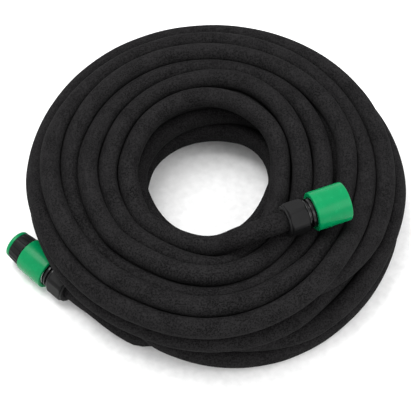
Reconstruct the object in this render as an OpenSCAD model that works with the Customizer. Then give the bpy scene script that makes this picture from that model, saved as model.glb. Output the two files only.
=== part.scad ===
// Coiled soaker hose with a quick connector at each end.
// Origin: centre of the whole outline, on the floor. +Z up.
// Each connector is drawn along its own +Z, from the clamp nut's hose side to the mouth.

/* [Hose] */
// Outer diameter of the porous hose
hose_d = 17; // [16:0.5:17.5]
// Bore of the porous hose
hose_bore_d = 12.5; // [12.4:0.1:12.6]

/* [Coil] */
// Outer diameter of the wound coil
coil_d = 331; // [328:1:340]
// Diameter of the open middle of the coil
coil_hole_d = 104; // [98:1:112]
// Height of the wound coil
coil_h = 70; // [68:1:70]

/* [Inlet position] */
// Distance of the inlet nut's back face from the coil axis along X
inlet_x = -114.4; // [-120:0.2:-112]
// Distance of the inlet nut's back face from the coil axis along Y
inlet_y = -100.2; // [-106:0.2:-98]
// Height of the inlet connector's axis
inlet_z = 15.6; // [15.4:0.1:17]
// Compass direction of the inlet connector's mouth, from +X
inlet_az = 137.6; // [130:0.2:142]

/* [Outlet position] */
// Distance of the outlet nut's back face from the coil axis along X
outlet_x = 60.5; // [54:0.5:66]
// Distance of the outlet nut's back face from the coil axis along Y
outlet_y = -80.4; // [-86:0.2:-76]
// Height of the outlet connector's axis
outlet_z = 86.6; // [86.6:0.1:90]
// Compass direction of the outlet connector's mouth, from +X
outlet_az = 22; // [14:1:30]

/* [Clamp nut] */
// Distance across the flats of the clamp nut
nut_flats = 25.6; // [25.4:0.1:26.4]
// Distance across the rounded corners of the clamp nut
nut_corners = 28; // [27.6:0.1:28.6]
// Length of the clamp nut
nut_l = 17; // [16.8:0.1:17.2]

/* [Sleeves] */
// Outer diameter of the outlet sleeve
outlet_sleeve_d = 32.4; // [32:0.1:32.8]
// Outer diameter of the inlet sleeve beside the tap adapter
inlet_sleeve_d = 30; // [30:0.1:30.4]
// Outer diameter of the inlet sleeve beside the nut
inlet_sleeve_back_d = 30.8; // [30:0.1:30.8]

/* [Tap adapter] */
// Outer diameter of the ribbed ring beside the sleeve
adapter_d = 26.8; // [26.4:0.1:27]
// Outer diameter of the green end ring
end_ring_d = 24.8; // [24.6:0.1:25]
// Inner diameter of the female tap thread in the end ring
tap_thread_d = 18.6; // [18.4:0.1:18.8]

/* [Socket] */
// Bore that takes the round nose of a quick fitting
socket_bore_d = 16.2; // [16.1:0.05:16.3]

/* [Hidden] */
$fn = 96;
eps = 0.01;
rubber = "#2b2b2d";
black = "#1c1c1e";
green = "#12a860";
steel = "#b8bcc2";

hose_r = hose_d / 2;
coil_r = coil_d / 2;
hole_r = coil_hole_d / 2;

// Heights along a connector, from the clamp nut's hose side
stop_z = 17.4;        // back face of the thin flange that stops the nut
groove_z = 18.6;      // groove between the thin flange and the thick one
shoulder_z = 20.6;    // back of the thick flange
tube_z = 23.6;        // front of the thick flange, where the sleeve spring rests
sleeve_z = 23.8;      // back edge of the sleeve
slider_z = 38;        // back of the sleeve's inner rib, pushed by the spring
head_z = 40.1;        // back of the wide head that holds the jaws
socket_z = 42;        // where the narrow bore opens to the wide mouth
jaw_z = 44;           // back of the jaws
jaw_l = 3;            // length of a jaw
head_end_z = 51;      // mouth of the connector body
outlet_sleeve_end_z = 53;
inlet_sleeve_end_z = 50.6;

// Radii around a connector's axis
stem_r = 6.15;        // hose stem
barb_r = 6.6;         // crest of each barb
water_r = 4.5;        // water way through the stem
thread_r = 11;        // collar with the clamp nut's thread
collar_bore_r = 10;   // inside of that collar
flange_r = 12;        // thick flange
tube_r = 10.6;        // tube that the sleeve slides on
head_r = 12.2;        // head that holds the jaws
mouth_r = 9.8;        // wide mouth of the socket
land_r = 12.4;        // sleeve's inside over the head
lip_r = 12.6;         // sleeve's inside over the spring
cam = 0.25;           // slope of the cam that frees the jaws, radius per length
jaw_in_r = 8.5;       // inside of a jaw when it grips
jaw_w = 8.6;          // width of a jaw
gap = 0.1;            // slack between sliding pieces
socket_r = socket_bore_d / 2;

// Tap adapter, heights along the inlet connector
nose_z = 32;
adapter_z = 51.2;
adapter_floor_z = 53;
adapter_end_z = 63.4;
end_ring_z = 63.5;
end_ring_end_z = 66.7;
adapter_bore_r = 11.3;
rib_count = 18;

// The coil sits so that the whole outline is centred on the origin
inlet_reach = inlet_x + end_ring_end_z * cos(inlet_az) - end_ring_d / 2 * sin(inlet_az);
coil_x = -(inlet_reach + coil_r) / 2;

// Route of the hose from the coil's lowest outer turn to the inlet connector, relative to the coil axis
inlet_route = [
    [-48, -144, 8.5],
    [-57, -141, 8.5],
    [-66, -136.5, 8.9],
    [-75, -131, 10.2],
    [-84, -124.6, 12.2],
    [-93, -117.6, 14.2],
    [-99, -113, 15.2],
    [-104, -109.3, 15.6],
];
// Route of the hose from the coil's top inner turn to the outlet connector, relative to the coil axis
outlet_route = [
    [-56, -60, 61.5],
    [-42, -72, 61.8],
    [-27, -81, 62.2],
    [-10, -87.5, 62.9],
    [0, -90, 65.1],
    [8, -91.2, 68.7],
    [16, -91.8, 74.5],
    [24, -91.4, 80.2],
    [32, -90.2, 84],
    [40, -88.2, 86],
    [47.5, -85.7, 86.6],
];
straight_l = 13.5;    // straight hose behind each clamp nut
swept_r = hose_r - 0.2;
tuck = 1.5;           // how far a swept tube ends inside the straight hose

function unit(v) = v / norm(v);
function heading(path, i) =
    let (last = len(path) - 1)
    unit(path[min(i + 1, last)] - path[max(i - 1, 0)]);
// Ring i of a tube: n points at radius r round path[i], square to the direction way
function ring(p, way, r, n) =
    let (side = unit(cross(way, [0, 0, 1])))
    let (up = cross(side, way))
    [for (k = [0 : n - 1]) p + r * (cos(360 * k / n) * side + sin(360 * k / n) * up)];
function tube_faces(rings, n) = concat(
    [[for (k = [n - 1 : -1 : 0]) k]],
    [for (i = [0 : rings - 2]) for (k = [0 : n - 1])
        [i * n + k, i * n + (k + 1) % n, (i + 1) * n + (k + 1) % n]],
    [for (i = [0 : rings - 2]) for (k = [0 : n - 1])
        [i * n + k, (i + 1) * n + (k + 1) % n, (i + 1) * n + k]],
    [[for (k = [0 : n - 1]) (rings - 1) * n + k]]
);

// Tube swept along a path; end_way sets the direction of its last ring
module tube(path, r, n, end_way) {
    last = len(path) - 1;
    ways = [for (i = [0 : last]) i == last ? end_way : heading(path, i)];
    points = [for (i = [0 : last]) each ring(path[i], ways[i], r, n)];
    polyhedron(points = points, faces = tube_faces(len(path), n), convexity = 8);
}

module at_coil() {
    translate([coil_x, 0, 0]) children();
}

module at_inlet() {
    at_coil()
        translate([inlet_x, inlet_y, inlet_z])
            rotate([0, 90, inlet_az])
                children();
}

module at_outlet() {
    at_coil()
        translate([outlet_x, outlet_y, outlet_z])
            rotate([0, 90, outlet_az])
                children();
}

// Ring between two radii, from height z0 to z1
module shell(outer_r, inner_r, z0, z1) {
    translate([0, 0, z0]) difference() {
        cylinder(h = z1 - z0, r = outer_r);
        translate([0, 0, -eps]) cylinder(h = z1 - z0 + 2 * eps, r = inner_r);
    }
}

module bore(r, z0, z1) {
    translate([0, 0, z0]) cylinder(h = z1 - z0, r = r);
}

module cone(r0, r1, z0, z1) {
    translate([0, 0, z0]) cylinder(h = z1 - z0, r1 = r0, r2 = r1);
}

// Coil spring along Z, as a swept wire
module spring(mean_r, wire_r, z0, z1, turns) {
    steps = 14;
    path = [for (i = [0 : turns * steps])
        let (a = 360 * i / steps)
        [mean_r * cos(a), mean_r * sin(a), z0 + (z1 - z0) * i / (turns * steps)]];
    last = len(path) - 1;
    tube(path, wire_r, 6, unit(path[last] - path[last - 1]));
}

// ---------- hose ----------

module hose_coil() {
    inlet_pocket_r = 17.2;
    edge = 5;
    shoulder = 9;
    color(rubber) difference() {
        at_coil() rotate_extrude() polygon([
            [hole_r + edge, 0],
            [coil_r - edge, 0],
            [coil_r, edge],
            [coil_r, coil_h - 3 * shoulder],
            [coil_r - shoulder, coil_h - 6],
            [coil_r - 15, coil_h],
            [hole_r + 6, coil_h],
            [hole_r, coil_h - 6],
            [hole_r, edge],
        ]);
        at_inlet() bore(inlet_pocket_r, -22, 76);
    }
}

// The end of the hose that a connector grips, with its open bore
module hose_end() {
    bore_depth = straight_l - 3;
    difference() {
        bore(hose_r, -straight_l, stop_z - 1.4);
        bore(hose_bore_d / 2, -bore_depth, stop_z);
    }
}

module hose_inlet_tail() {
    way = [cos(inlet_az), sin(inlet_az), 0];
    start = [inlet_x, inlet_y, inlet_z] - straight_l * way;
    color(rubber) {
        at_coil() tube(concat(inlet_route, [start + tuck * way]), swept_r, 12, way);
        at_inlet() hose_end();
    }
}

module hose_outlet_tail() {
    way = [cos(outlet_az), sin(outlet_az), 0];
    start = [outlet_x, outlet_y, outlet_z] - straight_l * way;
    color(rubber) {
        at_coil() tube(concat(outlet_route, [start + tuck * way]), swept_r, 12, way);
        at_outlet() hose_end();
    }
}

// ---------- pieces that both connectors have ----------

// Hose stem with barbs, threaded collar, two flanges and the tube for the sleeve
module connector_core() {
    barb_pitch = 4;
    shell(stem_r, water_r, 1, stop_z);
    for (i = [0 : 2])
        translate([0, 0, 2 + i * barb_pitch]) difference() {
            cylinder(h = 2.4, r1 = stem_r - 0.1, r2 = barb_r);
            translate([0, 0, -eps]) cylinder(h = 3, r = water_r);
        }
    shell(thread_r, collar_bore_r, 8, stop_z + 0.5);
    shell(head_r, water_r, stop_z, groove_z);
    shell(9.6, water_r, groove_z - eps, shoulder_z + eps);
    shell(flange_r, water_r, shoulder_z, tube_z);
    shell(tube_r, water_r, tube_z - eps, head_z + eps);
    shell(head_r, water_r, head_z, head_end_z);
}

module jaw_windows() {
    slack = 0.2;
    for (a = [0, 120, 240])
        rotate([0, 0, a])
            translate([mouth_r - 2, -jaw_w / 2 - slack / 2, jaw_z - slack])
                cube([5, jaw_w + slack, jaw_l + 2 * slack]);
}

module clamp_nut() {
    color(black) difference() {
        union() {
            intersection() {
                translate([0, 0, 1.6]) rotate([0, 0, 12])
                    cylinder(h = nut_l - 1.6, r = nut_flats / 2 / cos(30), $fn = 6);
                union() {
                    cone(nut_corners / 2 - 1, nut_corners / 2, 1.6, 2.8);
                    bore(nut_corners / 2, 2.8, nut_l - 1.2);
                    cone(nut_corners / 2, nut_corners / 2 - 1, nut_l - 1.2, nut_l);
                }
            }
            bore(nut_flats / 2, 0, 1.8);
        }
        bore(hose_r + 0.4, -1, 3);
        cone(9.55, 10.1, 2.5, 6.2);
        bore(thread_r + gap, 6.1, nut_l + 1);
    }
}

// Split ring that the nut squeezes onto the hose
module grip_ring() {
    slots = 6;
    color("#d9d6cc") difference() {
        union() {
            cone(9.4, 9.85, 3.2, 6);
            bore(9.85, 6 - eps, 14.5);
        }
        bore(hose_r + gap, 3, 15);
        for (i = [0 : slots - 1])
            rotate([0, 0, i * 360 / slots])
                translate([8, -0.4, 2])
                    cube([3, 0.8, 9]);
    }
}

// Inside of a sleeve: a wide back, the rib that slides on the tube, the land and the cam
module sleeve_inside(end_z) {
    bore(lip_r, sleeve_z - 1, slider_z);
    bore(tube_r + gap, slider_z - 1, head_z);
    bore(land_r, head_z - gap, jaw_z);
    cone(land_r, land_r + cam * (end_z + 1 - jaw_z), jaw_z - eps, end_z + 1);
}

module sleeve_spring() {
    color(steel) spring(11.4, 0.5, tube_z + 0.6, slider_z - 0.6, 5);
}

module jaw(a) {
    out_r = land_r - gap;
    color("#d9d6cc") rotate([0, 0, a]) intersection() {
        difference() {
            cone(out_r, out_r + cam * jaw_l, jaw_z, jaw_z + jaw_l);
            bore(jaw_in_r, jaw_z - 1, jaw_z + jaw_l + 1);
        }
        translate([5, -jaw_w / 2, jaw_z - 1]) cube([12, jaw_w, jaw_l + 2]);
    }
}

// ---------- inlet connector ----------

module inlet_connector_body() {
    color(black) at_inlet() difference() {
        connector_core();
        bore(water_r, 0, 31);
        bore(socket_r, 30, socket_z + eps);
        bore(mouth_r, socket_z, head_end_z + 1);
        jaw_windows();
    }
}

module inlet_sleeve() {
    back_r = inlet_sleeve_back_d / 2;
    front_r = inlet_sleeve_d / 2;
    color(green) at_inlet() difference() {
        union() {
            cone(back_r - 0.8, back_r, sleeve_z, sleeve_z + 0.8);
            cone(back_r, front_r, sleeve_z + 0.8, inlet_sleeve_end_z);
        }
        sleeve_inside(inlet_sleeve_end_z);
    }
}

module inlet_tap_adapter() {
    oring_z = 36;
    oring_l = 2.2;
    color(black) at_inlet() difference() {
        union() {
            bore(socket_r - 0.08, nose_z, socket_z + 0.3);
            bore(mouth_r - 0.3, socket_z + 0.2, jaw_z - 0.2);
            bore(8.1, jaw_z - 0.3, jaw_z + jaw_l + 0.7);
            bore(mouth_r - 0.2, jaw_z + jaw_l + 0.6, adapter_z + eps);
            cone(adapter_d / 2 - 0.5, end_ring_d / 2 - 0.3, adapter_z, adapter_end_z);
            intersection() {
                cone(adapter_d / 2, end_ring_d / 2, adapter_z, adapter_end_z);
                for (i = [0 : rib_count - 1])
                    rotate([0, 0, i * 360 / rib_count])
                        translate([11, -0.9, adapter_z])
                            cube([4, 1.8, adapter_end_z - adapter_z]);
            }
        }
        bore(5, nose_z - 1, adapter_floor_z + eps);
        bore(adapter_bore_r, adapter_floor_z, adapter_end_z + 1);
        shell(socket_r + 1, 6.2, oring_z, oring_z + oring_l);
    }
}

module inlet_adapter_oring() {
    color(rubber) at_inlet() translate([0, 0, 37.1])
        rotate_extrude() translate([7.13, 0]) circle(r = 0.9, $fn = 32);
}

module inlet_flow_restrictor() {
    color(steel) at_inlet() shell(adapter_bore_r - 0.2, 1.2, adapter_floor_z + 0.05, adapter_floor_z + 1.05);
}

module inlet_tap_washer() {
    color(rubber) at_inlet() shell(adapter_bore_r - 0.2, 6, adapter_floor_z + 1.1, adapter_floor_z + 3.4);
}

module inlet_end_ring() {
    color(green) at_inlet() difference() {
        union() {
            bore(adapter_bore_r - gap, adapter_floor_z + 3.5, end_ring_z + eps);
            bore(end_ring_d / 2, end_ring_z, end_ring_end_z - 0.6);
            cone(end_ring_d / 2, end_ring_d / 2 - 0.6, end_ring_end_z - 0.6, end_ring_end_z);
        }
        bore(tap_thread_d / 2, adapter_floor_z + 3, end_ring_end_z + 1);
    }
}

// ---------- outlet connector, with its water stop ----------

valve_back_z = 18.5;
valve_seat_z = 27;
valve_front_z = 29;

module outlet_connector_body() {
    color(black) at_outlet() difference() {
        connector_core();
        bore(7, valve_back_z, valve_seat_z + eps);
        bore(7.6, valve_seat_z, 33.3);
        bore(socket_r, 33.2, socket_z + eps);
        bore(mouth_r, socket_z, head_end_z + 1);
        jaw_windows();
    }
}

module outlet_sleeve() {
    r = outlet_sleeve_d / 2;
    color(green) at_outlet() difference() {
        union() {
            cone(r - 0.8, r, sleeve_z, sleeve_z + 0.8);
            bore(r, sleeve_z + 0.8 - eps, outlet_sleeve_end_z - 1);
            cone(r, r - 1, outlet_sleeve_end_z - 1, outlet_sleeve_end_z);
        }
        sleeve_inside(outlet_sleeve_end_z);
    }
}

module outlet_valve_seat() {
    color(black) at_outlet() shell(7.5, 5.2, valve_seat_z + 0.05, valve_front_z);
}

// Plunger: a spring pin, a disc behind the seat, guide wings through the seat and a tip
module outlet_valve_plunger() {
    wing_r = 5.1;
    color(black) at_outlet() {
        bore(3.4, 22.4, 24.7);
        bore(6.2, 24.6, 26);
        intersection() {
            bore(wing_r, 25.9, 31);
            union() {
                for (a = [0, 90])
                    rotate([0, 0, a]) translate([-6, -0.9, 25.9]) cube([12, 1.8, 5.1]);
            }
        }
        bore(4, 30.9, 33);
    }
}

module outlet_valve_seal() {
    color(rubber) at_outlet() shell(6.3, 5.3, 26.05, 26.95);
}

module outlet_valve_spring() {
    color(steel) at_outlet() spring(5.4, 0.35, valve_back_z + 0.45, 24.15, 3);
}

// ---------- assembly ----------

module inlet_clamp_nut() {
    at_inlet() clamp_nut();
}

module inlet_grip_ring() {
    at_inlet() grip_ring();
}

module inlet_sleeve_spring() {
    at_inlet() sleeve_spring();
}

module outlet_clamp_nut() {
    at_outlet() clamp_nut();
}

module outlet_grip_ring() {
    at_outlet() grip_ring();
}

module outlet_sleeve_spring() {
    at_outlet() sleeve_spring();
}

hose_coil();
hose_inlet_tail();
hose_outlet_tail();
inlet_connector_body();
inlet_clamp_nut();
inlet_grip_ring();
inlet_sleeve();
inlet_sleeve_spring();
at_inlet() jaw(0);  // inlet_jaw_1
at_inlet() jaw(120);  // inlet_jaw_2
at_inlet() jaw(240);  // inlet_jaw_3
inlet_tap_adapter();
inlet_adapter_oring();
inlet_flow_restrictor();
inlet_tap_washer();
inlet_end_ring();
outlet_connector_body();
outlet_clamp_nut();
outlet_grip_ring();
outlet_sleeve();
outlet_sleeve_spring();
at_outlet() jaw(0);  // outlet_jaw_1
at_outlet() jaw(120);  // outlet_jaw_2
at_outlet() jaw(240);  // outlet_jaw_3
outlet_valve_seat();
outlet_valve_plunger();
outlet_valve_seal();
outlet_valve_spring();
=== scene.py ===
"""Looks of the coiled soaker hose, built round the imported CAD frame. Metres, +Z up."""

import math

import bmesh
import bpy
import numpy as np
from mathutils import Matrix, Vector


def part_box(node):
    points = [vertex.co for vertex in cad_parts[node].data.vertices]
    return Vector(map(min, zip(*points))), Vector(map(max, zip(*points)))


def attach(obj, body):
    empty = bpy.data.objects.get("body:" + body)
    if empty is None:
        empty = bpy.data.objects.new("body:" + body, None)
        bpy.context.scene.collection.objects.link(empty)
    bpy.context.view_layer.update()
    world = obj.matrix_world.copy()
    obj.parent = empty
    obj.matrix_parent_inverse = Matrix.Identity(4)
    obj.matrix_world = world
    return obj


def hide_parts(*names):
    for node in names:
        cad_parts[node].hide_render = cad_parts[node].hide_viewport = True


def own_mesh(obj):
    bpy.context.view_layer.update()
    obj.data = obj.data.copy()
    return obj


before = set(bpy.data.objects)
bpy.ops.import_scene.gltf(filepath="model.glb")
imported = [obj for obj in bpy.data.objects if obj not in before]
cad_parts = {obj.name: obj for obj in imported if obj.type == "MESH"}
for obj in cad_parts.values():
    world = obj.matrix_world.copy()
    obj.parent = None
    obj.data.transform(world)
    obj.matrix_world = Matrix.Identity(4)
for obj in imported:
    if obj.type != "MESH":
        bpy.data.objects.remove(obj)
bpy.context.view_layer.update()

# ---------- sizes and places, as in the CAD source ----------

coil_low, coil_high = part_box("hose_coil")
COIL_X = (coil_low.x + coil_high.x) / 2     # the coil's axis stands at (COIL_X, 0)
HOSE_D = 0.017
HOSE_R = HOSE_D / 2

INLET_AT = (-0.1144, -0.1002, 0.0156)       # hose side of the inlet's clamp nut, from the coil axis
INLET_AZ = math.radians(137.6)              # compass direction of the inlet's mouth
OUTLET_AT = (0.0605, -0.0804, 0.0866)
OUTLET_AZ = math.radians(22)
STRAIGHT = 0.0135                           # straight hose behind each clamp nut
HOSE_END = 0.016                            # how far the hose goes into a connector

# The hose's route between the coil and each connector, from the coil axis, as in the CAD source
INLET_ROUTE = [
    (-0.048, -0.144, 0.0085), (-0.057, -0.141, 0.0085), (-0.066, -0.1365, 0.0089),
    (-0.075, -0.131, 0.0102), (-0.084, -0.1246, 0.0122), (-0.093, -0.1176, 0.0142),
    (-0.099, -0.113, 0.0152), (-0.104, -0.1093, 0.0156),
]
OUTLET_ROUTE = [
    (-0.056, -0.060, 0.0615), (-0.042, -0.072, 0.0618), (-0.027, -0.081, 0.0622),
    (-0.010, -0.0875, 0.0629), (0, -0.090, 0.0651), (0.008, -0.0912, 0.0687),
    (0.016, -0.0918, 0.0745), (0.024, -0.0914, 0.0802), (0.032, -0.0902, 0.084),
    (0.040, -0.0882, 0.086), (0.0475, -0.0857, 0.0866),
]

# ---------- camera ----------


def add_camera():
    """Looks at the foot of the coil's axis from the front, high up"""
    elevation = math.radians(55)
    distance = 1.2364
    data = bpy.data.cameras.new("camera")
    data.lens = 122.7
    data.sensor_width = 36
    data.shift_x = -0.0085
    data.shift_y = -0.0109
    data.clip_end = 20
    camera = bpy.data.objects.new("camera", data)
    bpy.context.scene.collection.objects.link(camera)
    back = Vector((0, -math.cos(elevation), math.sin(elevation)))
    camera.location = Vector((COIL_X, 0, 0)) + distance * back
    camera.rotation_euler = back.to_track_quat("Z", "Y").to_euler()
    bpy.context.scene.camera = camera


add_camera()

# ---------- the hose's route, laid out layer by layer and then settled ----------
# Every turn runs anticlockwise, so the hose is a radius and a height for each direction in degrees.

STEP = 4                                    # degrees between two points of the route
ROUTE_START = 228                           # direction in the inlet tail where the route starts
ROUTE_END = 296                             # and in the outlet tail where it ends, after the last turn
PLANES = 360 // STEP
BED = HOSE_R * 1000                         # height in mm of a turn that lies on the floor
CREST = 64                                  # and of one on top

# The coil's innermost and outermost turn in mm, on the floor and on top, in the AROUND directions
AROUND = (340, 90, 170, 205, 270)
INNER_BED = (66, 60.5, 65, 72, 76)
INNER_CREST = (48, 56, 62, 73, 88)
OUTER_BED = (162, 149, 144, 148, 166)
OUTER_CREST = (140, 143, 139, 146, 165)

# Layers from the floor up: turns, how far out the first and the last lie (1 is outermost),
# and the heights in mm of both
LAYERS = [
    (5, (1, 0), (BED, BED)),
    (5, (0, 1), (26, 23)),
    (4, (1, 0), (37, 43)),
    (3, (0.22, 0.95), (54, 46)),
    (6, (1, 0), (54, CREST)),
]

UNEVEN_RADIUS = 0.0008                      # spread of the slow random waves in the turns
UNEVEN_HEIGHT = 0.0006
TOP_PULL = 0.02                             # how firmly the top layer and the others keep to their places
LOWER_PULL = 0.004
TOP_START = 300                             # direction from which the top layer is held
CLEAR = 5                                   # degrees between the tails' own points and the layers'
INNERMOST = 0.0595                          # limits for the centre of any turn
HIGHEST = 0.070
OUTER_SPARE = 0.001
ROUNDS = 1200

# Where the turns must keep off a connector: its length, and its radius at the nut and at the sleeve
BEHIND_NUT = 0.014
NUT_LENGTH = 0.018
INLET_SPACE = (0.070, 0.0144, 0.0158)
OUTLET_SPACE = (0.056, 0.0125, 0.0145)


def smooth_through(x, y, at):
    """A smooth curve through (x, y), read at the places at"""
    slope = np.gradient(y, x)
    i = np.clip(np.searchsorted(x, at) - 1, 0, len(x) - 2)
    span = x[i + 1] - x[i]
    t = (at - x[i]) / span
    rest = 1 - t
    start = rest * rest * ((1 + 2 * t) * y[i] + t * span * slope[i])
    end = t * t * ((1 + 2 * rest) * y[i + 1] - rest * span * slope[i + 1])
    return start + end


def polar(route):
    """Direction in degrees, radius and height of a route's points"""
    p = np.array(route)
    return np.degrees(np.arctan2(p[:, 1], p[:, 0])) % 360, np.hypot(p[:, 0], p[:, 1]), p[:, 2]


def laid_out():
    """Knots (direction, radius, height) of the whole winding, and its number of turns"""
    knots = []
    turns = 0
    for count, (out_first, out_last), (height_first, height_last) in LAYERS:
        for k in range(count * len(AROUND)):
            way = k % len(AROUND)
            direction = AROUND[way] + 360 * (turns + k // len(AROUND) + (way > 0))
            share = max(0, (k + 1) / len(AROUND) - 1) / (count - 1)
            out = out_first + (out_last - out_first) * share
            height = height_first + (height_last - height_first) * share
            level = (height - BED) / (CREST - BED)
            inner = INNER_BED[way] + (INNER_CREST[way] - INNER_BED[way]) * level
            outer = OUTER_BED[way] + (OUTER_CREST[way] - OUTER_BED[way]) * level
            knots.append((direction, inner + (outer - inner) * out, height))
        turns += count
    return np.array(knots) * (1, 0.001, 0.001), turns


def planned_route():
    """Directions, planned radii and heights of the hose, which points stay put, and the pull on the rest"""
    knots, turns = laid_out()
    inlet = np.stack(polar(INLET_ROUTE[::-1]), 1)
    inlet = inlet[np.argsort(inlet[:, 0])]
    outlet = np.stack(polar(OUTLET_ROUTE), 1)
    outlet[:, 0] += 360 * turns
    free = (knots[:, 0] > inlet[-1, 0] + CLEAR) & (knots[:, 0] < outlet[0, 0] - CLEAR)
    knots = np.concatenate([inlet, knots[free], outlet])
    at = np.arange(ROUTE_START, ROUTE_END + 360 * turns + 1, STEP).astype(float)
    radius = smooth_through(knots[:, 0], knots[:, 1], at)
    height = smooth_through(knots[:, 0], knots[:, 2], at)
    fixed = (at <= inlet[-1, 0]) | (at >= outlet[0, 0])
    random = np.random.default_rng(7)
    for values, amount in ((radius, UNEVEN_RADIUS), (height, UNEVEN_HEIGHT)):
        wave = random.normal(size=len(at) // 12 + 4)
        place = np.linspace(0, len(wave) - 1.001, len(at))
        slow = smooth_through(np.arange(len(wave)), wave, place)
        values += np.where(fixed, 0, amount * slow)
    top = at > 360 * (turns - LAYERS[-1][0]) + TOP_START
    return at, radius, np.maximum(height, HOSE_R), fixed, np.where(top, TOP_PULL, LOWER_PULL)


def fitting_sections(at, azimuth, space, directions):
    """Where a connector crosses the planes through the coil's axis: (plane, radius, height, size)"""
    length, nut_radius, sleeve_radius = space
    way = np.array([math.cos(azimuth), math.sin(azimuth)])
    foot = np.array(at[:2])
    found = []
    for plane, direction in enumerate(directions):
        out = np.array([math.cos(direction), math.sin(direction)])
        across = np.array([-out[1], out[0]])
        slant = way @ across
        along = -(foot @ across) / slant
        radius = (foot + along * way) @ out
        if radius > 0 and -BEHIND_NUT <= along <= length:
            size = nut_radius if along < NUT_LENGTH else sleeve_radius
            found.append((plane, radius, at[2], size / abs(slant)))
    return found


def settled(rounds):
    """Pushes the turns apart, off the fittings and off the floor, while each is pulled to its place"""
    at, radius, height, fixed, pull = planned_route()
    rows = math.ceil(len(at) / PLANES)
    spare = rows * PLANES - len(at)

    def grid(values, fill):
        return np.concatenate([values, np.full(spare, fill)]).reshape(rows, PLANES)

    alive = grid(np.ones(len(at)), 0)
    far = 10 + np.arange(rows)[:, None]     # the places after the hose's end, out of everything's way
    free = grid((~fixed).astype(float), 0)
    pull = grid(pull, 0) * free
    plan = [np.where(alive > 0, grid(v, 0), far) for v in (radius, height)]
    r, z = plan[0].copy(), plan[1].copy()
    first, second = np.triu_indices(rows, 1)
    pairs = np.arange(len(first))
    pick_first = np.zeros((rows, len(first)))
    pick_first[first, pairs] = 1
    pick_second = np.zeros((rows, len(first)))
    pick_second[second, pairs] = 1
    movable = np.maximum(free[first] + free[second], 1e-9)
    directions = np.radians(at[0] + STEP * np.arange(PLANES))
    blocks = fitting_sections(INLET_AT, INLET_AZ, INLET_SPACE, directions)
    blocks += fitting_sections(OUTLET_AT, OUTLET_AZ, OUTLET_SPACE, directions)
    blocks = np.array(blocks)
    block_plane = blocks[:, 0].astype(int)
    block_free = free[:, block_plane]
    edge = 0.001 * np.interp(np.degrees(directions), AROUND, OUTER_BED, period=360)
    outermost = edge + OUTER_SPARE
    apart = HOSE_D * 1.003
    clearance = 0.0006
    for i in range(rounds):
        late = i > rounds * 0.8
        for values, wanted in ((r, plan[0]), (z, plan[1])):
            values += (0.15 if late else 1) * pull * (wanted - values)
            off = (values - wanted).ravel()[:len(at)]
            for _ in range(1 if late else 2):
                off[1:-1] = 0.5 * off[1:-1] + 0.25 * (off[:-2] + off[2:])
                off[fixed] = 0
            values[...] = np.where(free > 0, wanted + grid(off, 0), values)
        for _ in range(3):
            dr = r[second] - r[first]
            dz = z[second] - z[first]
            gap = np.sqrt(dr * dr + dz * dz) + 1e-9
            over = np.where((gap < apart) & (movable > 0.5), apart - gap, 0)
            push = 0.9 * over / gap / movable
            hits = np.maximum(1, 0.5 * ((pick_first + pick_second) @ (over > 0)))
            r += free * ((pick_second - pick_first) @ (push * dr)) / hits
            z += free * ((pick_second - pick_first) @ (push * dz)) / hits
            dr = r[:, block_plane] - blocks[:, 1]
            dz = z[:, block_plane] - blocks[:, 2]
            gap = np.sqrt(dr * dr + dz * dz) + 1e-9
            over = block_free * np.maximum(0, blocks[:, 3] + HOSE_R + clearance - gap)
            r[:, block_plane] += over * dr / gap
            z[:, block_plane] += over * dz / gap
            r = np.where(free > 0, np.clip(r, INNERMOST, outermost), r)
            z = np.where(free > 0, np.clip(z, HOSE_R, HIGHEST), z)
    return at, r.ravel()[:len(at)], z.ravel()[:len(at)]


def connector_point(at, azimuth, along):
    return np.array([at[0] + along * math.cos(azimuth), at[1] + along * math.sin(azimuth), at[2]])


def hose_route():
    """Ring centres of the whole hose, from inside the inlet connector to inside the outlet connector"""
    at, radius, height = settled(ROUNDS)
    fine = np.arange(at[0], at[-1], 1.0)
    r = smooth_through(at, radius, fine)
    z = smooth_through(at, height, fine)
    coil = np.stack([r * np.cos(np.radians(fine)), r * np.sin(np.radians(fine)), z], 1)
    inlet_end = [connector_point(INLET_AT, INLET_AZ, s) for s in (HOSE_END, 0, -STRAIGHT)]
    outlet_end = [connector_point(OUTLET_AT, OUTLET_AZ, s) for s in (-STRAIGHT, 0, HOSE_END)]
    points = np.concatenate([inlet_end, coil[2:-3], outlet_end])
    spacing = 0.005
    along = np.concatenate([[0], np.cumsum(np.linalg.norm(np.diff(points, axis=0), axis=1))])
    count = int(along[-1] / spacing)
    places = np.linspace(0, along[-1], count + 1)
    route = np.stack([smooth_through(along, points[:, k], places) for k in range(3)], 1)
    return route + np.array([COIL_X, 0, 0])


# ---------- mesh helpers ----------

MM = 0.001


def new_object(name, verts, faces, crease=None):
    """Smooth-shaded object; edges sharper than crease degrees stay sharp"""
    mesh = bpy.data.meshes.new(name)
    mesh.from_pydata([tuple(float(c) for c in v) for v in verts], [], faces)
    mesh.validate()
    if crease:
        solid = bmesh.new()
        solid.from_mesh(mesh)
        bmesh.ops.recalc_face_normals(solid, faces=solid.faces)
        solid.to_mesh(mesh)
        solid.free()
    mesh.update()
    mesh.polygons.foreach_set("use_smooth", [True] * len(mesh.polygons))
    if crease:
        mesh.set_sharp_from_angle(angle=math.radians(crease))
    obj = bpy.data.objects.new(name, mesh)
    bpy.context.scene.collection.objects.link(obj)
    return obj


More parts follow.
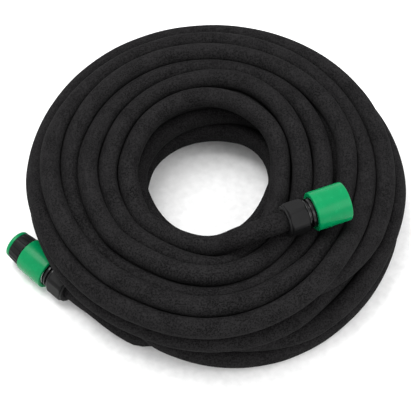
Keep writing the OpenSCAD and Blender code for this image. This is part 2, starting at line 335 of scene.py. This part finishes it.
def eased(corners, steps=3):
    """Closed outline through the corners (along, radius, easing), each corner rounded by its easing"""
    points = []
    for i, (along, radius, easing) in enumerate(corners):
        here = np.array([along, radius], float)
        if not easing:
            points.append(here)
            continue
        ends = []
        for other in (corners[i - 1], corners[(i + 1) % len(corners)]):
            way = np.array(other[:2], float) - here
            ends.append(here + way * min(easing / np.linalg.norm(way), 0.45))
        for s in range(steps + 1):
            t = s / steps
            points.append((1 - t) ** 2 * ends[0] + 2 * t * (1 - t) * here + t * t * ends[1])
    return np.array(points)


def ramp_up(x, low, high):
    """0 below low, 1 above high, smooth between"""
    t = np.clip((x - low) / (high - low), 0, 1)
    return t * t * (3 - 2 * t)


def place_on(end, points):
    """From a connector's own frame (mm, along its axis) to the object's frame (m)"""
    at, azimuth = (INLET_AT, INLET_AZ) if end == "inlet" else (OUTLET_AT, OUTLET_AZ)
    p = np.asarray(points, float) * MM
    way = np.array([math.cos(azimuth), math.sin(azimuth), 0])
    across = np.array([-math.sin(azimuth), math.cos(azimuth), 0])
    down = np.array([0, 0, -1.0])
    origin = np.array(at) + np.array([COIL_X, 0, 0])
    return origin + p[:, :1] * down + p[:, 1:2] * across + p[:, 2:3] * way


def turned(name, end, outline, sides=96, angles=None, shape=None, windows=None, crease=38):
    """Outline (along, radius) turned round a connector's axis. shape(along, radius, angle) gives the
    final radius. windows = (from, to, half width in degrees, directions) cuts through the two walls
    of the outline that run between the two places along."""
    if angles is None:
        angles = np.arange(sides) * 360 / sides
    n, m = len(outline), len(angles)
    a = np.radians(np.asarray(angles, float))[None, :]
    along = np.repeat(outline[:, :1], m, 1)
    radius = np.repeat(outline[:, 1:2], m, 1)
    if shape:
        radius = shape(along, radius, a)
    verts = np.stack([radius * np.cos(a), radius * np.sin(a), along], -1).reshape(-1, 3)
    faces = []
    walls = []
    for i in range(n):
        j = (i + 1) % n
        cut = windows and sorted((outline[i][0], outline[j][0])) == [windows[0], windows[1]]
        if cut:
            walls.append((i, j) if outline[i][0] < outline[j][0] else (j, i))
        for k in range(m):
            k2 = (k + 1) % m
            middle = (angles[k] + 180 / m) % 360
            if cut and any(abs((middle - w + 180) % 360 - 180) < windows[2] for w in windows[3]):
                continue
            faces.append((i * m + k, i * m + k2, j * m + k2, j * m + k))
    if windows:
        (low, high), (low2, high2) = walls
        for w in windows[3]:
            inside = [k for k in range(m)
                      if abs(((angles[k] + 180 / m) - w + 180) % 360 - 180) < windows[2]]
            inside.sort(key=lambda k: (angles[k] - w + 180) % 360)
            for k in inside:
                k2 = (k + 1) % m
                for one, two in ((low, low2), (high, high2)):
                    faces.append((one * m + k, one * m + k2, two * m + k2, two * m + k))
            for k in (inside[0], (inside[-1] + 1) % m):
                faces.append((low * m + k, high * m + k, high2 * m + k, low2 * m + k))
    return new_object(name, place_on(end, verts), faces, crease)


def sector(name, end, outline, middle, half, sides=10):
    """Part of a turned ring, closed at both ends"""
    angles = np.radians(middle + half * np.linspace(-1, 1, sides + 1))
    n = len(outline)
    verts = [(r * math.cos(t), r * math.sin(t), z) for t in angles for z, r in outline]
    faces = [(s * n + i, s * n + (i + 1) % n, (s + 1) * n + (i + 1) % n, (s + 1) * n + i)
             for s in range(sides) for i in range(n)]
    faces += [tuple(range(n)), tuple(sides * n + i for i in range(n))]
    return new_object(name, place_on(end, verts), faces, 38)


def coil_spring(name, end, mean, wire, first, last, turns):
    """Round wire with closed end turns"""
    steps, sides = 40, 10
    whole = turns + 1.5                     # with the closed ends
    closed = 0.7                            # turns that lie flat at each end
    total = int(steps * whole)
    verts = []
    for i in range(total + 1):
        turn = i / steps
        share = np.clip((turn - closed) / (whole - 2 * closed), 0, 1)
        flat = 2 * wire * 1.05
        rise = (min(turn, closed) + max(turn - (whole - closed), 0)) / closed * flat
        z = first + rise + share * (last - first - 2 * flat)
        t = 2 * math.pi * turn
        for s in range(sides):
            u = 2 * math.pi * s / sides
            r = mean + wire * math.cos(u)
            verts.append((r * math.cos(t), r * math.sin(t), z + wire * math.sin(u)))
    faces = []
    for i in range(total):
        here, ahead = i * sides, (i + 1) * sides
        for s in range(sides):
            n = (s + 1) % sides
            faces.append((here + s, here + n, ahead + n, ahead + s))
    faces += [tuple(range(sides)), tuple(total * sides + s for s in range(sides))]
    return new_object(name, place_on(end, verts), faces, 60)


# ---------- fittings, in mm along each connector from the hose side of its clamp nut ----------

NUT_PITCH = 2.5
TAP_PITCH = 1.814
RIBS = 18
JAWS = (0, 120, 240)


def thread(pitch, depth, first, last):
    """Cuts a helical groove of this depth (negative cuts inwards) into the wall between two places"""
    def cut(along, radius, angle):
        phase = (along / pitch - angle / (2 * np.pi)) % 1
        tooth = ramp_up(np.abs(phase - 0.5), 0.12, 0.34)
        inside = ramp_up(along, first, first + pitch / 2) * (1 - ramp_up(along, last - pitch / 2, last))
        return inside * (1 - tooth) * depth
    return cut


def threaded_wall(radius, first, last, pitch):
    count = int(abs(last - first) / pitch * 8)
    return [(first + (last - first) * i / count, radius, 0) for i in range(count + 1)]


def connector_body(end):
    stem = [(1, 4.5, 0.2), (1, 5.7, 0.3)]
    for k in range(3):
        stem += [(2 + 4 * k, 6.05, 0), (4.3 + 4 * k, 6.6, 0.1), (4.5 + 4 * k, 6.15, 0)]
    collar = [(17.4, 6.15, 0), (17.4, 10, 0.2), (8, 10, 0.2), (8, 11, 0.3)]
    collar += threaded_wall(11, 8.6, 17.1, NUT_PITCH)
    flanges = [
        (17.4, 11, 0), (17.4, 12.2, 0.25), (18.6, 12.2, 0.25), (18.6, 9.6, 0.2), (20.6, 9.6, 0.2),
        (20.6, 12, 0.45), (23.6, 12, 0.45), (23.6, 10.6, 0.2), (40.1, 10.6, 0.2), (40.1, 12.2, 0.3),
    ]
    head = [(43.8, 12.2, 0), (47.2, 12.2, 0), (51, 12.2, 0.5), (51, 9.8, 0.5), (47.2, 9.8, 0), (43.8, 9.8, 0)]
    socket = [(42, 9.8, 0.2), (42, 8.1, 0.4)]
    if end == "inlet":
        socket += [(31, 8.1, 0.2), (31, 4.5, 0.3)]
    else:
        socket += [
            (33.3, 8.1, 0.1), (33.3, 7.6, 0.1), (27, 7.6, 0), (27, 7, 0.1), (18.5, 7, 0.2), (18.5, 4.5, 0.3),
        ]
    groove = thread(NUT_PITCH, -0.5, 8.6, 17.1)

    def shape(along, radius, angle):
        return radius + np.where(np.abs(radius - 11) < 0.02, groove(along, radius, angle), 0)

    outline = eased(stem + collar + flanges + head + socket)
    return turned(f"{end}_body", end, outline, 96, shape=shape, windows=(43.8, 47.2, 22.4, JAWS))


def clamp_nut(end):
    outside = [
        (0, 8.9, 0.3), (0, 12.7, 0.45), (1.5, 12.7, 0.2), (1.8, 12.45, 0), (2.1, 13.1, 0.15),
        (3.0, 14, 0.4), (15.8, 14, 0.4), (17, 13, 0.35),
    ]
    inside = [(17, 11.1, 0.3)] + threaded_wall(11.1, 16.6, 6.6, NUT_PITCH)
    inside += [(6.15, 11.1, 0), (6.15, 10.1, 0.1), (2.5, 9.55, 0.1), (2.5, 8.9, 0.1)]
    groove = thread(NUT_PITCH, 0.5, 6.6, 16.6)

    def shape(along, radius, angle):
        turn = (angle - math.radians(12)) % (math.pi / 3) - math.pi / 6
        flats = 12.8 / np.cos(turn)
        hexagon = np.where((along > 1.95) & (radius > 12.7), np.minimum(radius, flats), radius)
        return hexagon + np.where(np.abs(radius - 11.1) < 0.02, groove(along, radius, angle), 0)

    return turned(f"{end}_nut", end, eased(outside + inside), 144, shape=shape, crease=40)


def release_sleeve(end):
    inside = [
        (44, 12.4, 0.4), (40, 12.4, 0.1), (40, 10.7, 0.25), (38, 10.7, 0.25), (38, 12.6, 0.1),
        (23.8, 12.6, 0.3),
    ]
    if end == "inlet":
        outside = [(23.8, 15.4, 0.9), (50.6, 15.0, 0.45), (50.6, 14.05, 0.2)]
    else:
        outside = [(23.8, 16.2, 0.9), (53, 16.2, 1.2), (53, 14.65, 0.4)]
    return turned(f"{end}_release_sleeve", end, eased(outside + inside, 5), 128)


def jaw(end, middle):
    outline = eased([(44.05, 8.5, 0.3), (44.05, 12.25, 0.15), (46.95, 12.95, 0.15), (46.95, 8.5, 0.5)])
    return sector(f"{end}_jaw_piece_{JAWS.index(middle) + 1}", end, outline, middle, 19.5)


def tap_adapter():
    nose = [
        (32, 5, 0.3), (32, 8.02, 0.6), (36, 8.02, 0.1), (36, 6.2, 0.1), (38.2, 6.2, 0.1), (38.2, 8.02, 0.1),
        (42.25, 8.02, 0.1), (42.25, 9.5, 0.2), (43.8, 9.5, 0.2), (43.8, 8.1, 0.2), (47.7, 8.1, 0.2),
        (47.7, 9.6, 0.2), (51.2, 9.6, 0.1),
    ]
    ring = [(51.2, 12.9, 0.25)]
    ring += [(z, 12.9 - 0.8 * (z - 51.2) / 12.2, 0) for z in (51.7, 51.9, 52.2, 55, 59, 62.2, 62.5, 62.8)]
    ring += [(63.4, 12.1, 0.2), (63.4, 11.3, 0.15), (53, 11.3, 0.1), (53, 5, 0.3)]
    half = math.radians(4.1)

    def shape(along, radius, angle):
        away = np.abs((angle + math.pi / RIBS) % (2 * math.pi / RIBS) - math.pi / RIBS)
        rib = 1 - ramp_up(away, half - 0.005, half + 0.012)
        lengthwise = ramp_up(along, 51.65, 52.1) * (1 - ramp_up(along, 62.3, 62.85))
        outer = (radius > 11.9) & (along > 51.5)
        return radius + np.where(outer, rib * lengthwise * (0.75 - 0.3 * (along - 51.2) / 12.2), 0)

    offsets = (-4.9, -4.4, -3.8, 0, 3.8, 4.4, 4.9, 7.4, 10, 12.6)
    angles = sorted((20 * k + o) % 360 for k in range(RIBS) for o in offsets)
    return turned("inlet_adapter_piece", "inlet", eased(nose + ring), angles=np.array(angles), shape=shape)


def end_ring():
    outside = [(56.5, 9.3, 0.3), (56.5, 11.2, 0.3), (63.5, 11.2, 0.1), (63.5, 12.4, 0.3), (66.7, 12.4, 0.8)]
    inside = [(66.7, 9.6, 0.5)] + threaded_wall(9.3, 66.0, 57.2, TAP_PITCH)
    groove = thread(TAP_PITCH, 0.75, 57.2, 66.6)

    def shape(along, radius, angle):
        return radius + np.where(np.abs(radius - 9.3) < 0.02, groove(along, radius, angle), 0)

    return turned("inlet_end_ring_piece", "inlet", eased(outside + inside), 120, shape=shape)


def grip_ring(end):
    outline = eased([(3.2, 8.65, 0.2), (3.2, 9.35, 0.1), (6, 9.8, 0.2), (14.5, 9.8, 0.3), (14.5, 8.65, 0.2)])
    return turned(f"{end}_grip_piece", end, outline, 96)


def washer(name, end, first, last, inner, outer, easing):
    corners = [(first, inner, easing), (first, outer, easing), (last, outer, easing), (last, inner, easing)]
    return turned(name, end, eased(corners), 72)


# ---------- hose mesh ----------

BORE_R = 0.00625
BORE_DEPTH = 0.004                          # how far each open end is modelled inwards


def hose_mesh(route):
    """Tube round the route, a little uneven as extruded crumb rubber is, with open bores at its ends"""
    sides = 28
    ways = np.gradient(route, axis=0)
    ways /= np.linalg.norm(ways, axis=1)[:, None]
    side = np.cross(ways, [0, 0, 1.0])
    side /= np.linalg.norm(side, axis=1)[:, None]
    up = np.cross(side, ways)
    random = np.random.default_rng(3)
    rings = len(route)
    rough = random.normal(size=(rings, sides))
    for _ in range(2):
        rough = (rough + np.roll(rough, 1, 1) + np.roll(rough, -1, 1)) / 3
        rough[1:-1] = (rough[1:-1] + rough[:-2] + rough[2:]) / 3
    thick = random.normal(size=rings // 9 + 4)
    place = np.linspace(0, len(thick) - 1.001, rings)
    thick = smooth_through(np.arange(len(thick)), thick, place)
    r = HOSE_R - 0.00008 + 0.00022 * rough + 0.00005 * thick[:, None]
    angle = 2 * np.pi * np.arange(sides) / sides
    circle = np.cos(angle)[None, :, None] * side[:, None] + np.sin(angle)[None, :, None] * up[:, None]
    verts = (route[:, None] + r[..., None] * circle).reshape(-1, 3)
    verts[:, 2] = np.maximum(verts[:, 2], 0)    # flat where it lies on the floor
    k = np.arange(sides)
    n = (k + 1) % sides
    base = sides * np.arange(rings - 1)[:, None]
    quads = np.stack([base + k, base + n, base + sides + n, base + sides + k], -1).reshape(-1, 4)
    faces = [tuple(int(i) for i in reversed(q)) for q in quads]
    verts = list(verts)
    for end, inward in ((0, 1), (rings - 1, -1)):
        ring = sides * end
        lip = len(verts)
        verts += [route[end] + BORE_R * c for c in circle[end]]
        deep = len(verts)
        verts += [route[end] + inward * BORE_DEPTH * ways[end] + BORE_R * c for c in circle[end]]
        for a in range(sides):
            b = (a + 1) % sides
            rim = (ring + a, ring + b, lip + b, lip + a)
            wall = (lip + a, lip + b, deep + b, deep + a)
            faces += [rim, wall] if inward > 0 else [rim[::-1], wall[::-1]]
        stop = tuple(deep + a for a in range(sides))
        faces.append(stop if inward > 0 else stop[::-1])
    return new_object("hose", verts, faces)


# ---------- materials ----------


def material(name, build):
    mat = bpy.data.materials.new(name)
    mat.use_nodes = True
    nodes = mat.node_tree.nodes
    build(nodes, mat.node_tree.links, nodes["Principled BSDF"])
    return mat


def noise(nodes, links, scale, detail):
    place = nodes.new("ShaderNodeTexCoord")
    texture = nodes.new("ShaderNodeTexNoise")
    texture.inputs["Scale"].default_value = scale
    texture.inputs["Detail"].default_value = detail
    links.new(place.outputs["Object"], texture.inputs["Vector"])
    return texture.outputs["Fac"]


def mixed(nodes, links, a, b, share):
    mix = nodes.new("ShaderNodeMix")
    mix.data_type = "FLOAT"
    mix.inputs["Factor"].default_value = share
    links.new(a, mix.inputs["A"])
    links.new(b, mix.inputs["B"])
    return mix.outputs["Result"]


def ramp(nodes, links, value, low, high, dark, light):
    node = nodes.new("ShaderNodeValToRGB")
    node.color_ramp.elements[0].position = low
    node.color_ramp.elements[0].color = tuple(dark) + (1,)
    node.color_ramp.elements[1].position = high
    node.color_ramp.elements[1].color = tuple(light) + (1,)
    links.new(value, node.inputs["Fac"])
    return node.outputs["Color"]


def bump(nodes, links, shader, height, strength, distance):
    node = nodes.new("ShaderNodeBump")
    node.inputs["Strength"].default_value = strength
    node.inputs["Distance"].default_value = distance
    links.new(height, node.inputs["Height"])
    links.new(node.outputs["Normal"], shader.inputs["Normal"])


def porous_rubber(nodes, links, shader):
    """Matte crumb rubber: pressed grains with fine pores; its colour follows the grains' bump, painted shade
    in the pores and painted highlight on the high spots, with random blotchy tone
    """
    grain = noise(nodes, links, 1300, 5)
    blotch = noise(nodes, links, 55, 4)
    place = nodes.new("ShaderNodeTexCoord")
    crumb = nodes.new("ShaderNodeTexVoronoi")
    crumb.inputs["Scale"].default_value = 750
    links.new(place.outputs["Object"], crumb.inputs["Vector"])
    surface = mixed(nodes, links, grain, crumb.outputs["Distance"], 0.4)
    tone = mixed(nodes, links, surface, blotch, 0.2)
    # painted shade and highlight: this ramp darkens the low points of the bump (the pores) and lightens its
    # high spots; only the blotch share is the rubber's own random tone
    colour = ramp(nodes, links, tone, 0.38, 0.6, (0.0024, 0.0023, 0.0025), (0.0155, 0.015, 0.0155))
    links.new(colour, shader.inputs["Base Color"])
    bump(nodes, links, shader, surface, 0.6, 0.0004)
    shader.inputs["Roughness"].default_value = 0.95
    shader.inputs["Specular IOR Level"].default_value = 0.06


def moulded(colour, roughness, grain=0.08, shine=0.4):
    """Moulded plastic: nearly even colour, roughness a little patchy, faint surface texture"""
    def build(nodes, links, shader):
        patches = noise(nodes, links, 140, 3)
        light = [min(1, 1.06 * c) for c in colour]
        dark = [0.94 * c for c in colour]
        links.new(ramp(nodes, links, patches, 0.3, 0.7, dark, light), shader.inputs["Base Color"])
        dull = ramp(nodes, links, patches, 0.3, 0.7, [0.85 * roughness] * 3, [min(1, 1.15 * roughness)] * 3)
        links.new(dull, shader.inputs["Roughness"])
        bump(nodes, links, shader, noise(nodes, links, 2200, 2), grain, 0.0001)
        shader.inputs["Specular IOR Level"].default_value = shine
    return build


def steel_wire(nodes, links, shader):
    tone = ramp(nodes, links, noise(nodes, links, 900, 2), 0.3, 0.7, (0.52, 0.53, 0.55), (0.68, 0.69, 0.71))
    links.new(tone, shader.inputs["Base Color"])
    shader.inputs["Metallic"].default_value = 1.0
    shader.inputs["Roughness"].default_value = 0.28


MATERIALS = {
    "porous_rubber": material("porous_rubber", porous_rubber),
    "green_plastic": material("green_plastic", moulded((0.0, 0.2, 0.066), 0.26, 0.05, 0.14)),
    "black_gloss": material("black_gloss", moulded((0.005, 0.005, 0.0053), 0.2, 0.03, 0.3)),
    "black_matte": material("black_matte", moulded((0.006, 0.006, 0.0063), 0.45, 0.2, 0.12)),
    "natural_nylon": material("natural_nylon", moulded((0.72, 0.69, 0.6), 0.45)),
    "seal_rubber": material("seal_rubber", moulded((0.01, 0.01, 0.01), 0.6, 0.15, 0.2)),
    "spring_steel": material("spring_steel", steel_wire),
}


def finish(piece, body, slot, *nodes):
    """Material, body and the CAD nodes that the piece stands for"""
    piece.data.materials.append(MATERIALS[slot])
    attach(piece, body)
    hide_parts(*nodes)


# ---------- hose ----------

route = hose_route()
hose = hose_mesh(route)
finish(hose, "hose", "porous_rubber", "hose_coil", "hose_inlet_tail", "hose_outlet_tail")

# ---------- fittings ----------

for end in ("inlet", "outlet"):
    finish(connector_body(end), "hose", "black_gloss", f"{end}_connector_body")
    finish(clamp_nut(end), f"{end}_nut", "black_matte", f"{end}_clamp_nut")
    finish(grip_ring(end), f"{end}_grip", "natural_nylon", f"{end}_grip_ring")
    finish(release_sleeve(end), f"{end}_sleeve", "green_plastic", f"{end}_sleeve")
    for k, middle in enumerate(JAWS):
        finish(jaw(end, middle), f"{end}_jaw_{k + 1}", "natural_nylon", f"{end}_jaw_{k + 1}")
    spring = coil_spring(f"{end}_return_spring", end, 11.4, 0.5, 24.2, 37.4, 4)
    finish(spring, "hose", "spring_steel", f"{end}_sleeve_spring")
    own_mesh(spring)

finish(tap_adapter(), "inlet_adapter", "black_matte", "inlet_tap_adapter")
finish(end_ring(), "inlet_end_ring", "green_plastic", "inlet_end_ring")
seal = turned("inlet_nose_seal", "inlet", np.array(
    [(37.1 + 0.9 * math.cos(t), 7.13 + 0.9 * math.sin(t)) for t in np.linspace(0, 2 * np.pi, 20)[:-1]]), 72)
finish(seal, "inlet_adapter", "seal_rubber", "inlet_adapter_oring")
finish(washer("inlet_restrictor_disc", "inlet", 53.05, 54.05, 1.2, 11.1, 0.15),
       "inlet_adapter", "spring_steel", "inlet_flow_restrictor")
finish(washer("inlet_washer_piece", "inlet", 54.1, 56.4, 6, 11.1, 0.4),
       "inlet_washer", "seal_rubber", "inlet_tap_washer")
finish(washer("outlet_seat_piece", "outlet", 27.05, 29, 5.2, 7.5, 0.3),
       "hose", "black_gloss", "outlet_valve_seat")
finish(washer("outlet_seal_piece", "outlet", 26.05, 26.95, 5.3, 6.3, 0.25),
       "outlet_valve", "seal_rubber", "outlet_valve_seal")
valve_spring = coil_spring("outlet_check_spring", "outlet", 5.4, 0.35, 18.95, 24.15, 2)
finish(valve_spring, "hose", "spring_steel", "outlet_valve_spring")
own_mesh(valve_spring)

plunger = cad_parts["outlet_valve_plunger"]
plunger.data.materials.clear()
plunger.data.materials.append(MATERIALS["black_gloss"])

# ---------- floor and light ----------


def add_floor():
    size = 3
    corners = [(-size, -size, 0), (size, -size, 0), (size, size, 0), (-size, size, 0)]
    floor = new_object("floor", corners, [(0, 1, 2, 3)])
    floor.data.materials.append(material("floor", moulded((0.9, 0.9, 0.9), 0.9, 0.0)))


def add_light(name, place, size, power):
    data = bpy.data.lights.new(name, "AREA")
    data.shape = "SQUARE"
    data.size = size
    data.energy = power
    light = bpy.data.objects.new(name, data)
    light.location = place
    light.rotation_euler = Vector(place).to_track_quat("Z", "Y").to_euler()
    bpy.context.scene.collection.objects.link(light)


def add_world():
    world = bpy.data.worlds.new("world")
    world.use_nodes = True
    world.node_tree.nodes["Background"].inputs["Color"].default_value = (1, 1, 1, 1)
    world.node_tree.nodes["Background"].inputs["Strength"].default_value = 1.15
    bpy.context.scene.world = world


bpy.context.scene.view_settings.view_transform = "Standard"
add_floor()
add_world()
add_light("key", (-0.5, 0.3, 1.6), 1.0, 22)
add_light("fill", (1.2, -0.8, 1.2), 1.2, 12)
